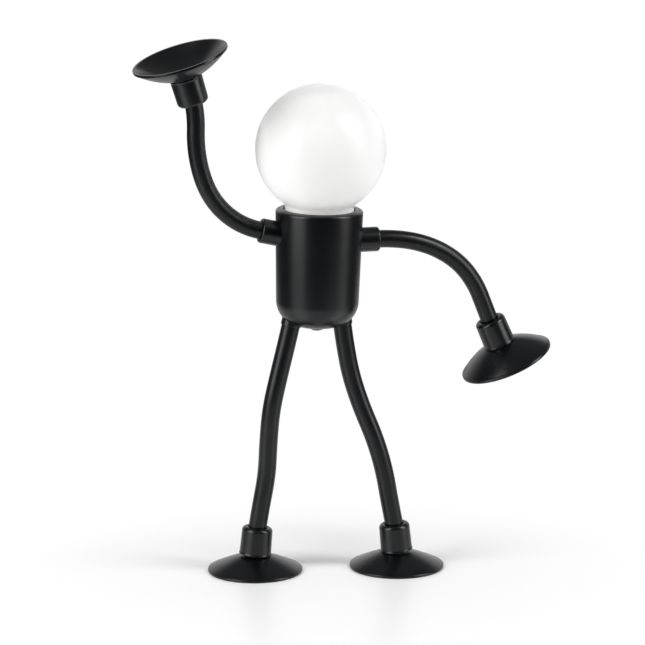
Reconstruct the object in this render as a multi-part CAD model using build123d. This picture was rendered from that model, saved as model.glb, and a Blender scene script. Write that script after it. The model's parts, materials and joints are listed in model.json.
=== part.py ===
from build123d import *
import os
from math import asin, cos, degrees, radians, sin, sqrt, tan

os.makedirs("parts", exist_ok=True)

# Bendable lamp with a globe on a cup-shaped body, two arms and two legs on suction cups.
# Millimetres, +Z up, the table at z = 0. The arms' sockets lie along X, the charging inlet
# faces +Y, and left is -X. The origin is under the middle of the lamp's outer box.

# Body shell
body_height = 72.4
body_top_radius = 26.9
body_low_radius = 25.1
body_corner = 16.0
body_wall = 2.2
body_lean_deg = 1.3
body_stand = 155.9
rim_fillet = 0.9
rim_width = 2.4
rim_slope_deg = 12.0
mouth_depth = 2.6
mouth_ledge = 1.1
mouth_radius = body_top_radius - rim_width
throat_radius = mouth_radius - mouth_ledge
rim_crest = body_height + rim_width * tan(radians(rim_slope_deg))

# Clearances
run_clear = 0.05
seat_clear = 0.12
cut_over = 1.0

# Ring that holds the globe
ring_width = 2.3
ring_drop = 0.15
ring_edge = 0.4
ring_bore = mouth_radius - ring_width
ring_crest = rim_crest - ring_drop + ring_width * tan(radians(rim_slope_deg))

# Globe
globe_radius = 40.0
globe_wall = 2.0
neck_play = 1.0
neck_wall = 1.9
neck_show = 1.67
neck_fillet = 3.5
neck_tail = 0.38
lug_gap = 0.3
lug_height = 1.5
lug_count = 2
lug_width_deg = 22.0
lug_play_deg = 4.0
lug_rest_deg = -45.0
lug_twist_deg = 30.0
neck_radius = ring_bore - neck_play
neck_depth = mouth_depth + seat_clear + lug_height + neck_tail
lug_reach = throat_radius - neck_radius - lug_gap
globe_drop = sqrt((globe_radius + neck_fillet) ** 2 - (neck_radius + neck_fillet) ** 2)
globe_rise = globe_drop + neck_show

# Screws
screw_radius = 1.0
screw_head_radius = 1.8
screw_head_height = 1.3
screw_length = 6.0
screw_spare = 1.0
screw_slot_width = 0.5
screw_slot_depth = 0.6

# Light engine
carrier_play = 0.8
carrier_thick = 1.5
carrier_drop = 0.3
carrier_port = 3.0
led_board_play = 1.1
led_board_thick = 1.6
led_length = 3.5
led_width = 2.8
led_height = 0.8
led_ring_shares = (0.6, 0.3)
led_ring_counts = (10, 4)
rib_count = 3
rib_width = 4.6
rib_height = 9.0
rib_reach = 2.8
rib_start_deg = 90.0
carrier_screw_inset = 2.2
carrier_radius = throat_radius - carrier_play
carrier_level = body_height - neck_depth - carrier_drop - carrier_thick
led_board_radius = neck_radius - neck_wall - led_board_play
carrier_screw_place = led_board_radius - carrier_screw_inset
rib_inner = carrier_screw_place - rib_reach

# Arms and legs: a bendable core in a silicone sleeve, turned into a socket of the body
arm_tube_radius = 5.45
leg_tube_radius = 5.7
core_radius = 3.1
arm_length = 99.0
leg_length_share = 0.83
hinge_shares = (0.14, 0.5, 0.87)
bend_half = 8.0
core_gap = 3.5
arm_socket_depth = 3.6
arm_socket_drop = 19.8
arm_collar_wall = 2.15
arm_collar_length = 14.7
arm_sleeve_seat = 8.0
leg_socket_inset = 9.6
leg_socket_level = 5.7
leg_collar_wall = 0.6
leg_collar_length = 5.4
collar_web = 0.2
collar_lip = 1.2
leg_collar_lip = 0.4
entry_bevel = 0.6
boss_wall = 1.4
arm_boss_length = 6.0
leg_boss_length = 5.0
stem_wall = 1.3
stem_head_step = 1.1
stem_head_length = 1.4
stem_seat = 2.0
left_arm_rise_deg = 12.2
right_arm_rise_deg = 1.0
left_leg_splay_deg = 12.0
right_leg_splay_deg = 8.7
left_arm_roll_deg = -4.7
right_arm_roll_deg = 1.2
left_leg_roll_deg = -34.0
right_leg_roll_deg = 25.0
left_arm_turns_deg = (19.7, 18.6, 17.8, 11.1, 10.1, -12.0)
right_arm_turns_deg = (9.1, 12.0, 14.3, 17.6, 14.6, 0.8)
left_leg_turns_deg = (1.3, -1.5, -12.1, -3.2, 12.2, -2.6)
right_leg_turns_deg = (-2.9, -8.1, -5.0, 6.7, 6.8, -1.6)
left_hand_heading_deg = 59.4
right_hand_heading_deg = 66.0
left_foot_lean_deg = 5.5
right_foot_lean_deg = -5.9
arm_socket_place = body_top_radius - arm_socket_depth
leg_socket_place = body_low_radius - leg_socket_inset
arm_collar_radius = arm_tube_radius + arm_collar_wall
leg_collar_radius = leg_tube_radius + leg_collar_wall
leg_sleeve_seat = leg_collar_length - stem_seat - run_clear - collar_web
stem_radius = core_radius + stem_wall
stem_head_radius = stem_radius + stem_head_step

# Electronics in the bottom of the body
board_play = 1.9
board_width = 18.0
board_thick = 1.6
board_clear = 2.9
board_screw_gap = 1.2
board_post_radius = 2.6
battery_play = 3.0
battery_room = 14.3
battery_edge = 0.8
usb_inset = 0.2
usb_width = 8.94
usb_height = 3.2
usb_depth = 7.9
usb_wall = 0.3
usb_tongue_width = 6.7
usb_tongue_thick = 0.7
usb_tongue_length = 5.0
usb_cavity_depth = 6.2
slot_margin = 0.2
slot_bevel = 0.5
switch_side = 8.0
switch_height = 5.0
switch_play = 0.2
switch_spare = 1.4
board_reach = body_low_radius - body_wall - board_play
board_length = 2 * sqrt(board_reach**2 - (board_width / 2) ** 2)
board_level = leg_socket_level + leg_boss_length + stem_head_length + board_clear
usb_mouth = body_low_radius - usb_inset
board_screw_place = usb_mouth - usb_depth - screw_head_radius - board_screw_gap
battery_radius = board_screw_place - screw_head_radius - battery_play
battery_length = carrier_level - battery_room - board_level - board_thick

# Push button under the body
button_radius = 6.3
button_dome = 3.2
button_flange_step = 1.3
button_flange_thick = 1.1
button_stem_radius = 1.7
button_stem_entry = 1.0
button_travel = 1.2
button_guide_wall = 1.2
button_guide_height = 6.6
button_flange_radius = button_radius + button_flange_step
switch_bore = button_stem_radius + switch_play
switch_bore_depth = button_stem_entry + button_travel + switch_spare

# Hubs and suction cups; the feet's cups are pressed flatter on the table
hub_length = 17.5
hub_wall = 3.8
hub_taper = 0.35
hub_fillet = 2.4
hub_bead = 0.3
hub_bead_height = 1.0
hub_web = 1.2
hub_bevel = 0.9
cup_radius = 29.5
cup_height = 12.5
pressed_cup_height = 9.6
cup_lip = 1.9
cup_lip_round = 0.8
cup_edge = 0.3
cup_lip_width = 1.6
cup_crown_deg = 19.3
cup_wall = 2.0
cup_disc_inset = 0.4
cup_disc_depth = 0.5
cup_plug_radius = 4.5
cup_plug_length = 5.0
cup_plug_room = 0.3
hub_top_radius = leg_tube_radius + hub_wall
hub_base_radius = hub_top_radius + hub_taper
hub_socket_depth = cup_plug_length + cup_plug_room
hub_bore_depth = hub_length - hub_socket_depth - hub_web
cup_seat_radius = hub_base_radius + hub_bead
cup_disc_radius = cup_seat_radius - cup_disc_inset


def turned(points_or_edges):
    """Solid of revolution about Z from closed edges in the XZ plane."""
    return revolve(make_face(points_or_edges), Axis.Z)


def drum(radius, low, high):
    """Cylinder about Z between two levels."""
    return Pos(0, 0, low) * extrude(Circle(radius), high - low)


def washer(outer, inner, low, high):
    """Hollow cylinder about Z between two levels."""
    return Pos(0, 0, low) * extrude(Circle(outer) - Circle(inner), high - low)


def along(origin, direction):
    """Location whose Z axis runs along a direction."""
    return Plane(origin=origin, z_dir=direction).location


class Route:
    """Centreline of a limb in its own plane: straight runs and tangent arcs."""

    def __init__(self, runs):
        self.pieces = []
        start, place, heading = 0.0, Vector(0, 0), 0.0
        for length, turn in runs:
            self.pieces.append((start, length, turn, place, heading))
            place = self.step(place, heading, length, turn)
            heading += turn
            start += length
        self.length = start

    @staticmethod
    def step(place, heading, length, turn):
        """Point at the end of a run that turns evenly."""
        half = radians(turn) / 2
        chord = length * (sin(half) / half if turn else 1)
        angle = radians(heading) + half
        return place + Vector(cos(angle), sin(angle)) * chord

    def at(self, reach):
        """Point and heading in degrees at a length along the route."""
        for start, length, turn, place, heading in self.pieces:
            if reach <= start + length or start + length >= self.length:
                part = (reach - start) / length
                end = self.step(place, heading, length * part, turn * part)
                return end, heading + turn * part

    def wire(self, low, high):
        """Edges of the route between two lengths."""
        edges = []
        for start, length, turn, place, heading in self.pieces:
            first, last = max(low, start), min(high, start + length)
            if last <= first:
                continue
            a, b = self.at(first)[0], self.at(last)[0]
            if turn:
                edges.append(ThreePointArc(a, self.at((first + last) / 2)[0], b))
            else:
                edges.append(Line(a, b))
        return Wire(edges)

    def tube(self, outer, inner, low, high):
        """Round tube or rod along the route; no bore where inner is 0."""
        place, heading = self.at(low)
        side = Plane(origin=place, z_dir=(cos(radians(heading)), sin(radians(heading)), 0))
        section = Circle(outer) - Circle(inner) if inner else Circle(outer)
        return sweep(side * section, path=self.wire(low, high))


class Limb:
    """An arm or a leg: its socket, its plane and its route."""

    def __init__(self, name, side, angle, roll, turns, end_angle):
        self.name, self.side = name, side
        self.is_arm = name.endswith("arm")
        if self.is_arm:
            self.tube, self.collar = arm_tube_radius, arm_collar_radius
            self.collar_length, self.seat = arm_collar_length, arm_sleeve_seat
            self.boss, self.lip, length = arm_boss_length, collar_lip, arm_length
            self.cup_height = cup_height
            out = Vector(side * cos(radians(angle)), 0, sin(radians(angle)))
            root = Vector(0, 0, body_height - arm_socket_drop) + out * arm_socket_place
        else:
            self.tube, self.collar = leg_tube_radius, leg_collar_radius
            self.collar_length, self.seat = leg_collar_length, leg_sleeve_seat
            self.boss, self.lip, length = leg_boss_length, leg_collar_lip, body_stand * leg_length_share
            self.cup_height = pressed_cup_height
            out = Vector(side * sin(radians(angle)), 0, -cos(radians(angle)))
            root = Vector(side * leg_socket_place, 0, leg_socket_level)
        across = Vector(0, 1, 0) * cos(radians(roll)) + out.cross(Vector(0, 1, 0)) * sin(radians(roll))
        self.socket = along(root, out)
        self.plane = Plane(origin=root, x_dir=out, z_dir=across)
        self.bends = [self.collar_length + length * share for share in hinge_shares]
        runs = [(self.collar_length, 0)] + [(length / len(turns), turn) for turn in turns]
        self.settle(runs, end_angle)

    def settle(self, runs, end_angle):
        """Find where the hub sits and finish the route with a straight run into it."""
        bare = Route(runs)
        tip, heading = bare.at(bare.length)
        if self.is_arm:
            self.entry = bare.length
            self.hub_way = self.outward(end_angle)
            self.cup_way, self.seat_rise = self.hub_way, 0.0
        else:
            self.hub_way = Vector(-sin(radians(end_angle)), 0, -cos(radians(end_angle)))
            self.cup_way = Vector(0, 0, -1)
            self.seat_rise = cup_seat_radius * abs(sin(radians(end_angle)))
            top = self.cup_height + self.seat_rise - hub_length * self.hub_way.Z
            fall = world_point(self.plane.from_local_coords(tip)).Z - top
            self.entry = bare.length - fall / self.outward(heading).Z
        straight = self.entry - bare.length + hub_bore_depth
        self.route = Route(runs + [(straight, 0)])
        self.top = self.point(self.entry)
        self.base = self.top + self.hub_way * hub_length

    def outward(self, heading):
        """Direction in the lamp's frame of a heading in the limb's plane."""
        local = Vector(cos(radians(heading)), sin(radians(heading)), 0)
        a = world_point(self.plane.from_local_coords(local))
        return a - world_point(self.plane.origin)

    def point(self, reach):
        """Point in the lamp's frame at a length along the route."""
        return world_point(self.plane.from_local_coords(self.route.at(reach)[0]))

    def placed(self, solid):
        """Move a solid from the limb's plane to the lamp's frame."""
        return body_frame() * self.plane.location * solid


frame_shift = [0.0, 0.0]


def body_frame():
    """Location of the body: standing on the legs and leaning a little to the right."""
    return Location((frame_shift[0], frame_shift[1], body_stand), (0, body_lean_deg, 0))


def world_point(place):
    """A point of the body's frame in the lamp's frame."""
    return (body_frame() * Pos(*place)).position


def make_limbs():
    """The four limbs as the lamp stands."""
    left_arm = left_arm_rise_deg, left_arm_roll_deg, left_arm_turns_deg, left_hand_heading_deg
    right_arm = right_arm_rise_deg, right_arm_roll_deg, right_arm_turns_deg, right_hand_heading_deg
    left_leg = left_leg_splay_deg, left_leg_roll_deg, left_leg_turns_deg, left_foot_lean_deg
    right_leg = right_leg_splay_deg, right_leg_roll_deg, right_leg_turns_deg, right_foot_lean_deg
    return [
        Limb("left_arm", -1, *left_arm),
        Limb("right_arm", 1, *right_arm),
        Limb("left_leg", -1, *left_leg),
        Limb("right_leg", 1, *right_leg),
    ]


def cup_mouth(limb):
    """Middle of a cup's mouth."""
    return limb.base + limb.cup_way * (limb.cup_height + limb.seat_rise)


def rim_reach(limb, axis):
    """Lowest and highest coordinate of a cup's rim along X or Y."""
    mouth = cup_mouth(limb)
    share = (limb.cup_way.X, limb.cup_way.Y)[axis]
    reach = cup_radius * sqrt(1 - share * share)
    middle = (mouth.X, mouth.Y)[axis]
    return middle - reach, middle + reach


def centre_frame():
    """Put the middle of the cups' outer box over the origin."""
    limbs = make_limbs()
    for axis in (0, 1):
        ends = [rim_reach(limb, axis) for limb in limbs]
        low, high = min(e[0] for e in ends), max(e[1] for e in ends)
        if axis:
            low, high = min(low, -globe_radius), max(high, globe_radius)
        frame_shift[axis] = -(low + high) / 2


def outer_body():
    """Outside of the body: flat bottom, round corner, drafted wall and a rim that slopes up inwards."""
    flat = body_low_radius - body_corner
    turn = sin(radians(45)) * body_corner
    edges = [
        Line((0, 0, 0), (flat, 0, 0)),
        ThreePointArc(
            (flat, 0, 0),
            (flat + turn, 0, body_corner - turn),
            (body_low_radius, 0, body_corner),
        ),
        Line((body_low_radius, 0, body_corner), (body_top_radius, 0, body_height)),
        Line((body_top_radius, 0, body_height), (mouth_radius, 0, rim_crest)),
        Line((mouth_radius, 0, rim_crest), (0, 0, rim_crest)),
        Line((0, 0, rim_crest), (0, 0, 0)),
    ]
    body = turned(edges)
    rings = body.edges().filter_by(GeomType.CIRCLE)
    return fillet(min(rings, key=lambda ring: abs(ring.center().Z - body_height)), rim_fillet)


def body_cavity():
    """Room inside the body, with the mouth for the ring and the throat below it."""
    corner = body_corner - body_wall
    flat = body_low_radius - body_corner
    turn = sin(radians(45)) * corner
    inside = body_low_radius - body_wall
    seat = body_height - mouth_depth
    edges = [
        Line((0, 0, body_wall), (flat, 0, body_wall)),
        ThreePointArc(
            (flat, 0, body_wall),
            (flat + turn, 0, body_corner - turn),
            (inside, 0, body_corner),
        ),
        Line((inside, 0, body_corner), (throat_radius, 0, seat)),
        Line((throat_radius, 0, seat), (mouth_radius, 0, seat)),
        Line((mouth_radius, 0, seat), (mouth_radius, 0, rim_crest + cut_over)),
        Line((mouth_radius, 0, rim_crest + cut_over), (0, 0, rim_crest + cut_over)),
        Line((0, 0, rim_crest + cut_over), (0, 0, body_wall)),
    ]
    return turned(edges)


def board_screw_places():
    """Places of the two screws of the main board."""
    return [(0, side * board_screw_place) for side in (-1, 1)]


def rib_places(radius):
    """Places of the ribs or screws of the light carrier on a circle."""
    return PolarLocations(radius, rib_count, start_angle=rib_start_deg)


def usb_level():
    """Level of the middle of the charging inlet."""
    return board_level + board_thick + usb_height / 2


def usb_slot():
    """Slot for the charging inlet through the back of the body, bevelled outside."""
    height = usb_height + 2 * slot_margin
    width = usb_width + 2 * slot_margin
    back = body_top_radius
    face = Plane(origin=(0, back, usb_level()), x_dir=(1, 0, 0), z_dir=(0, -1, 0))
    slot = extrude(face * SlotOverall(width, height), back - board_length / 2)
    at_wall = Plane(origin=(0, usb_mouth, usb_level()), x_dir=(1, 0, 0), z_dir=(0, 1, 0))
    wide = SlotOverall(width + 2 * slot_bevel, height + 2 * slot_bevel)
    return slot + extrude(at_wall * wide, body_top_radius - usb_mouth)


def make_body_shell(limbs):
    """Cup-shaped moulding with sockets for the limbs, ribs, posts and button guide."""
    outer = outer_body()
    shell = outer - body_cavity()
    guide = button_flange_radius + seat_clear
    added = drum(guide + button_guide_wall, 0, button_guide_height)
    for place in board_screw_places():
        added += Pos(*place) * drum(board_post_radius, 0, board_level)
    rib = extrude(Rectangle(body_top_radius - rib_inner, rib_width), -rib_height)
    for place in rib_places((body_top_radius + rib_inner) / 2):
        added += place * Pos(0, 0, carrier_level) * rib
    for limb in limbs:
        wall = limb.collar + boss_wall
        added += limb.socket * drum(wall, -limb.boss, limb.collar_length)
    bay = drum(carrier_radius + seat_clear, carrier_level, body_height)
    shell += (added & outer) - bay
    shell -= drum(guide, body_wall, button_guide_height + cut_over)
    shell -= drum(button_radius + run_clear, -cut_over, body_wall + cut_over)
    for limb in limbs:
        shell -= limb.socket * drum(limb.collar + seat_clear, 0, limb.collar_length + cut_over)
        shell -= limb.socket * drum(stem_radius + run_clear, -limb.boss - cut_over, cut_over)
    bore = screw_radius + run_clear
    for place in board_screw_places():
        shell -= Pos(*place) * drum(bore, board_level - screw_length - screw_spare, board_level + cut_over)
    for place in rib_places(carrier_screw_place):
        shell -= place * drum(bore, carrier_level - screw_length - screw_spare, carrier_level + cut_over)
    shell -= usb_slot()
    return shell


def sector(radius, low, high, middle_deg, width_deg):
    """Wedge of a drum about Z."""
    turn = Rot(0, 0, middle_deg - width_deg / 2)
    face = make_face(
        [
            Line((0, 0), (radius, 0)),
            CenterArc((0, 0), radius, 0, width_deg),
            Line((radius * cos(radians(width_deg)), radius * sin(radians(width_deg))), (0, 0)),
        ]
    )
    return Pos(0, 0, low) * turn * extrude(face, high - low)


def make_globe_ring():
    """Ring in the body's mouth with the rim's slope, and two slots that let the globe's lugs in."""
    low, high, outside = body_height - mouth_depth, rim_crest - ring_drop, mouth_radius - run_clear
    edges = [
        Line((ring_bore, 0, low), (outside, 0, low)),
        Line((outside, 0, low), (outside, 0, high)),
        Line((outside, 0, high), (ring_bore, 0, ring_crest)),
        Line((ring_bore, 0, ring_crest), (ring_bore, 0, low)),
    ]
    ring = turned(edges)
    ring = chamfer(ring.edges().group_by(Axis.Z)[-1].sort_by(SortBy.RADIUS)[0], ring_edge)
    reach = neck_radius + lug_reach + seat_clear
    for index in range(lug_count):
        middle = lug_rest_deg + lug_twist_deg + index * 360 / lug_count
        width = lug_width_deg + lug_play_deg
        ring -= sector(reach, low - cut_over, ring_crest + cut_over, middle, width)
    return ring


def make_globe():
    """Hollow opal globe with a straight neck and two lugs that turn under the ring."""
    middle = body_height + globe_rise
    low = body_height - neck_depth
    away, drop = neck_radius + neck_fillet, globe_drop
    share = globe_radius / (globe_radius + neck_fillet)
    join = (away * share, 0, middle - drop * share)
    bend = degrees(asin(drop / (globe_radius + neck_fillet))) / 2
    mid = (away - neck_fillet * cos(radians(bend)), 0, middle - drop + neck_fillet * sin(radians(bend)))
    inner = globe_radius - globe_wall
    bore = neck_radius - neck_wall
    inner_drop = sqrt(inner**2 - bore**2)
    edges = [
        Line((bore, 0, low), (neck_radius, 0, low)),
        Line((neck_radius, 0, low), (neck_radius, 0, middle - drop)),
        ThreePointArc((neck_radius, 0, middle - drop), mid, join),
        ThreePointArc(join, (globe_radius, 0, middle), (0, 0, middle + globe_radius)),
        Line((0, 0, middle + globe_radius), (0, 0, middle + inner)),
        ThreePointArc((0, 0, middle + inner), (inner, 0, middle), (bore, 0, middle - inner_drop)),
        Line((bore, 0, middle - inner_drop), (bore, 0, low)),
    ]
    globe = turned(edges)
    top = body_height - mouth_depth - seat_clear
    for index in range(lug_count):
        turn = lug_rest_deg + index * 360 / lug_count
        lug = sector(neck_radius + lug_reach, top - lug_height, top, turn, lug_width_deg)
        globe += lug - drum(neck_radius - neck_wall / 2, low, top + cut_over)
    return globe


def make_led_carrier():
    """Aluminium plate that carries the light board and sits on the ribs."""
    plate = drum(carrier_radius, carrier_level, carrier_level + carrier_thick)
    plate -= drum(carrier_port, carrier_level - cut_over, carrier_level + carrier_thick + cut_over)
    for place in rib_places(carrier_screw_place):
        plate -= place * drum(screw_radius + run_clear, carrier_level, led_base())
    return plate


def led_base():
    """Level of the light board's underside."""
    return carrier_level + carrier_thick


def make_led_board():
    """Round light board on the carrier."""
    high = led_base() + led_board_thick
    board = drum(led_board_radius, led_base(), high)
    for place in rib_places(carrier_screw_place):
        board -= place * drum(screw_radius + run_clear, led_base(), high)
    return board - drum(screw_radius, led_base(), high)


def make_leds():
    """Light chips in two rings on the board."""
    level = led_base() + led_board_thick
    chip = Pos(0, 0, level) * extrude(Rectangle(led_length, led_width), led_height)
    rings = [PolarLocations(led_board_radius * led_ring_shares[i], n) for i, n in enumerate(led_ring_counts)]
    return Compound([place * chip for ring in rings for place in ring])


def screw():
    """Slotted pan-head screw, its head's underside at zero."""
    body = drum(screw_radius, -screw_length, 0) + drum(screw_head_radius, 0, screw_head_height)
    body = fillet(body.edges().sort_by(Axis.Z)[-1], screw_head_height / 3)
    cut = extrude(Rectangle(2 * screw_head_radius, screw_slot_width), screw_slot_depth)
    return body - Pos(0, 0, screw_head_height - screw_slot_depth) * cut


def make_screws():
    """Screws of the light board and of the main board."""
    high = led_base() + led_board_thick
    top = board_level + board_thick
    screws = [place * Pos(0, 0, high) * screw() for place in rib_places(carrier_screw_place)]
    screws += [Pos(x, y, top) * screw() for x, y in board_screw_places()]
    return Compound(screws)


def make_main_board():
    """Charging and driver board across the bottom of the body."""
    board = Pos(0, 0, board_level) * extrude(Rectangle(board_width, board_length), board_thick)
    for x, y in board_screw_places():
        board -= Pos(x, y, 0) * drum(screw_radius + run_clear, board_level, board_level + board_thick)
    return board


def make_usb_socket():
    """Charging inlet: a rounded metal sleeve with a tongue inside."""
    back = Plane(origin=(0, usb_mouth, usb_level()), x_dir=(1, 0, 0), z_dir=(0, -1, 0))
    shell = extrude(back * SlotOverall(usb_width, usb_height), usb_depth)
    hollow = SlotOverall(usb_width - 2 * usb_wall, usb_height - 2 * usb_wall)
    shell -= extrude(back * hollow, usb_cavity_depth)
    floor = Plane(origin=(0, usb_mouth - usb_cavity_depth, usb_level()), x_dir=(1, 0, 0), z_dir=(0, 1, 0))
    return shell + extrude(floor * Rectangle(usb_tongue_width, usb_tongue_thick), usb_tongue_length)


def make_battery():
    """Round cell standing on the main board."""
    low = board_level + board_thick + run_clear
    cell = drum(battery_radius, low, low + battery_length)
    return fillet(cell.edges().filter_by(GeomType.CIRCLE), battery_edge)


def make_power_switch():
    """Push switch under the main board."""
    low = board_level - switch_height
    body = Pos(0, 0, low) * extrude(Rectangle(switch_side, switch_side), switch_height)
    return body - drum(switch_bore, low, low + switch_bore_depth)


def make_switch_button():
    """Domed button under the body, held by its flange, with a stem into the switch."""
    chord = button_radius
    dome_radius = (chord**2 + button_dome**2) / (2 * button_dome)
    share = 0.5 * degrees(asin(chord / dome_radius))
    mid = (dome_radius * sin(radians(share)), 0, -button_dome + dome_radius * (1 - cos(radians(share))))
    seat = body_wall + run_clear
    high = seat + button_flange_thick
    tip = board_level - switch_height + button_stem_entry
    edges = [
        ThreePointArc((0, 0, -button_dome), mid, (button_radius, 0, 0)),
        Line((button_radius, 0, 0), (button_radius, 0, seat)),
        Line((button_radius, 0, seat), (button_flange_radius, 0, seat)),
        Line((button_flange_radius, 0, seat), (button_flange_radius, 0, high)),
        Line((button_flange_radius, 0, high), (button_stem_radius, 0, high)),
        Line((button_stem_radius, 0, high), (button_stem_radius, 0, tip)),
        Line((button_stem_radius, 0, tip), (0, 0, tip)),
        Line((0, 0, tip), (0, 0, -button_dome)),
    ]
    return turned(edges)


def make_collar(limb):
    """Round collar at the root of a limb, turning in its socket."""
    end = limb.collar_length
    collar = drum(limb.collar, run_clear, end)
    collar = fillet(collar.edges().sort_by(Axis.Z)[-1], limb.lip)
    seat = end - limb.seat
    collar -= drum(stem_radius + run_clear, 0, stem_seat + run_clear)
    collar -= drum(core_radius + run_clear, stem_seat, end)
    collar -= drum(limb.tube + run_clear, seat, end + cut_over)
    mouth = Cone(limb.tube + run_clear, limb.tube + run_clear + limb.lip / 2, entry_bevel)
    collar -= Pos(0, 0, end - entry_bevel / 2) * mouth
    return body_frame() * limb.socket * collar


def make_stem(limb):
    """Root of the core: a flanged pin through the socket and the first stretch of core."""
    back = -limb.boss - run_clear
    pin = drum(stem_radius, back, stem_seat) + drum(stem_head_radius, back - stem_head_length, back)
    core = limb.route.tube(core_radius, 0, stem_seat / 2, limb.bends[0] - core_gap)
    return body_frame() * (limb.socket * pin + limb.plane.location * core)


def make_sleeve(limb, low, high):
    """Silicone sleeve over a stretch of the limb."""
    return limb.placed(limb.route.tube(limb.tube, core_radius + run_clear, low, high))


def make_core(limb, low, high):
    """Bendable core inside a stretch of the limb."""
    return limb.placed(limb.route.tube(core_radius, 0, low, high))


def make_hub(limb):
    """Hub on the limb's end: rounded top, bead at the base, bore for the tube."""
    top = hub_length
    bead = hub_base_radius + hub_bead
    edges = [
        Line((0, 0, 0), (bead - hub_bead_height / 2, 0, 0)),
        ThreePointArc(
            (bead - hub_bead_height / 2, 0, 0),
            (bead, 0, hub_bead_height / 2),
            (bead - hub_bead_height / 2, 0, hub_bead_height),
        ),
        Line((bead - hub_bead_height / 2, 0, hub_bead_height), (hub_base_radius, 0, hub_bead_height)),
        Line((hub_base_radius, 0, hub_bead_height), (hub_top_radius, 0, top)),
        Line((hub_top_radius, 0, top), (0, 0, top)),
        Line((0, 0, top), (0, 0, 0)),
    ]
    hub = turned(edges)
    hub = fillet(hub.edges().sort_by(Axis.Z)[-1], hub_fillet)
    hub -= drum(cup_plug_radius + run_clear, 0, hub_socket_depth)
    mouth = Cone(limb.tube + run_clear, limb.tube + run_clear + hub_bevel, hub_bevel)
    hub -= Pos(0, 0, top - hub_bevel / 2) * mouth
    hub = along(limb.base, -limb.hub_way) * hub
    way = limb.outward(limb.route.at(limb.entry)[1])
    bore = drum(limb.tube + seat_clear, -cut_over - hub_bevel, hub_bore_depth)
    return hub - along(limb.top, way) * bore


def dome_arc(height):
    """Centre and radius of the arc of the cup's dome."""
    start = Vector(cup_seat_radius, 0, height)
    end = Vector(cup_radius - cup_lip_round, 0, cup_lip)
    chord = end - start
    slope = degrees(asin((start.Z - end.Z) / chord.length))
    half = slope - cup_crown_deg
    radius = chord.length / 2 / sin(radians(half))
    lean = Vector(-sin(radians(cup_crown_deg)), 0, -cos(radians(cup_crown_deg)))
    return start + lean * radius, radius


def on_dome(middle, radius, reach):
    """Point of a dome arc at a distance from the cup's axis."""
    return Vector(reach, 0, middle.Z + sqrt(radius**2 - (reach - middle.X) ** 2))


def make_dome(height):
    """Suction cup about Z, its mouth at zero: dome, lip and inner disc."""
    middle, outside = dome_arc(height)
    inside = outside - cup_wall
    rim = cup_radius - cup_lip_round
    inner_rim = cup_radius - cup_lip_width
    foot = cup_radius - cup_edge
    turn, turn_low = (size * (1 - sin(radians(45))) for size in (cup_lip_round, cup_edge))
    top = on_dome(middle, outside, cup_seat_radius)
    low = on_dome(middle, outside, rim)
    disc = on_dome(middle, inside, cup_disc_radius)
    bottom = on_dome(middle, inside, inner_rim - cup_wall)
    edges = [
        Line((0, 0, height), top),
        ThreePointArc(top, on_dome(middle, outside, (cup_seat_radius + rim) / 2), low),
        ThreePointArc(low, (cup_radius - turn, 0, cup_lip - turn), (cup_radius, 0, cup_lip - cup_lip_round)),
        Line((cup_radius, 0, cup_lip - cup_lip_round), (cup_radius, 0, cup_edge)),
        ThreePointArc((cup_radius, 0, cup_edge), (cup_radius - turn_low, 0, turn_low), (foot, 0, 0)),
        Line((foot, 0, 0), (inner_rim, 0, 0)),
        Line((inner_rim, 0, 0), bottom),
        ThreePointArc(bottom, on_dome(middle, inside, (cup_disc_radius + inner_rim - cup_wall) / 2), disc),
        Line(disc, (cup_disc_radius, 0, disc.Z - cup_disc_depth)),
        Line((cup_disc_radius, 0, disc.Z - cup_disc_depth), (0, 0, disc.Z - cup_disc_depth)),
        Line((0, 0, disc.Z - cup_disc_depth), (0, 0, height)),
    ]
    return turned(edges)


def make_cup(limb):
    """Suction cup with its seat and plug in line with the hub."""
    cup = along(cup_mouth(limb), -limb.cup_way) * make_dome(limb.cup_height)
    plug = drum(cup_plug_radius, -cup_wall / 2, cup_plug_length)
    if limb.seat_rise:
        plug += drum(hub_base_radius, -limb.seat_rise * 2 - cup_wall / 2, 0)
    return cup + along(limb.base, -limb.hub_way) * plug


def save(name, shape):
    """Write one sub-part."""
    export_step(shape, f"parts/{name}.step")


def save_limb(limb):
    """Write the pieces of a limb."""
    joints = ("shoulder", "elbow", "wrist") if limb.is_arm else ("hip", "knee", "ankle")
    spans = ("upper", "fore") if limb.is_arm else ("thigh", "shin")
    floor = limb.entry + hub_bore_depth - run_clear
    save(f"{limb.name}_collar", make_collar(limb))
    save(f"{limb.name}_stem", make_stem(limb))
    starts = [limb.collar_length - limb.seat + run_clear]
    starts += [bend - bend_half for bend in limb.bends[1:]]
    ends = [bend + bend_half for bend in limb.bends[:-1]] + [floor]
    for joint, low, high in zip(joints, starts, ends):
        save(f"{limb.name}_{joint}_sleeve", make_sleeve(limb, low, high))
    for index, span in enumerate(spans):
        first, second = limb.bends[index], limb.bends[index + 1]
        save(f"{limb.name}_{span}_sleeve", make_sleeve(limb, first + bend_half, second - bend_half))
        save(f"{limb.name}_{span}_core", make_core(limb, first + core_gap, second - core_gap))
    save(f"{limb.name}_end_core", make_core(limb, limb.bends[-1] + core_gap, floor))
    save(f"{limb.name}_hub", make_hub(limb))
    save(f"{limb.name}_cup", make_cup(limb))


def show(label, place, way):
    """Print a place and a direction in the lamp's frame."""
    print(label, *(round(v, 3) for v in place), *(round(v, 5) for v in way))


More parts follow.
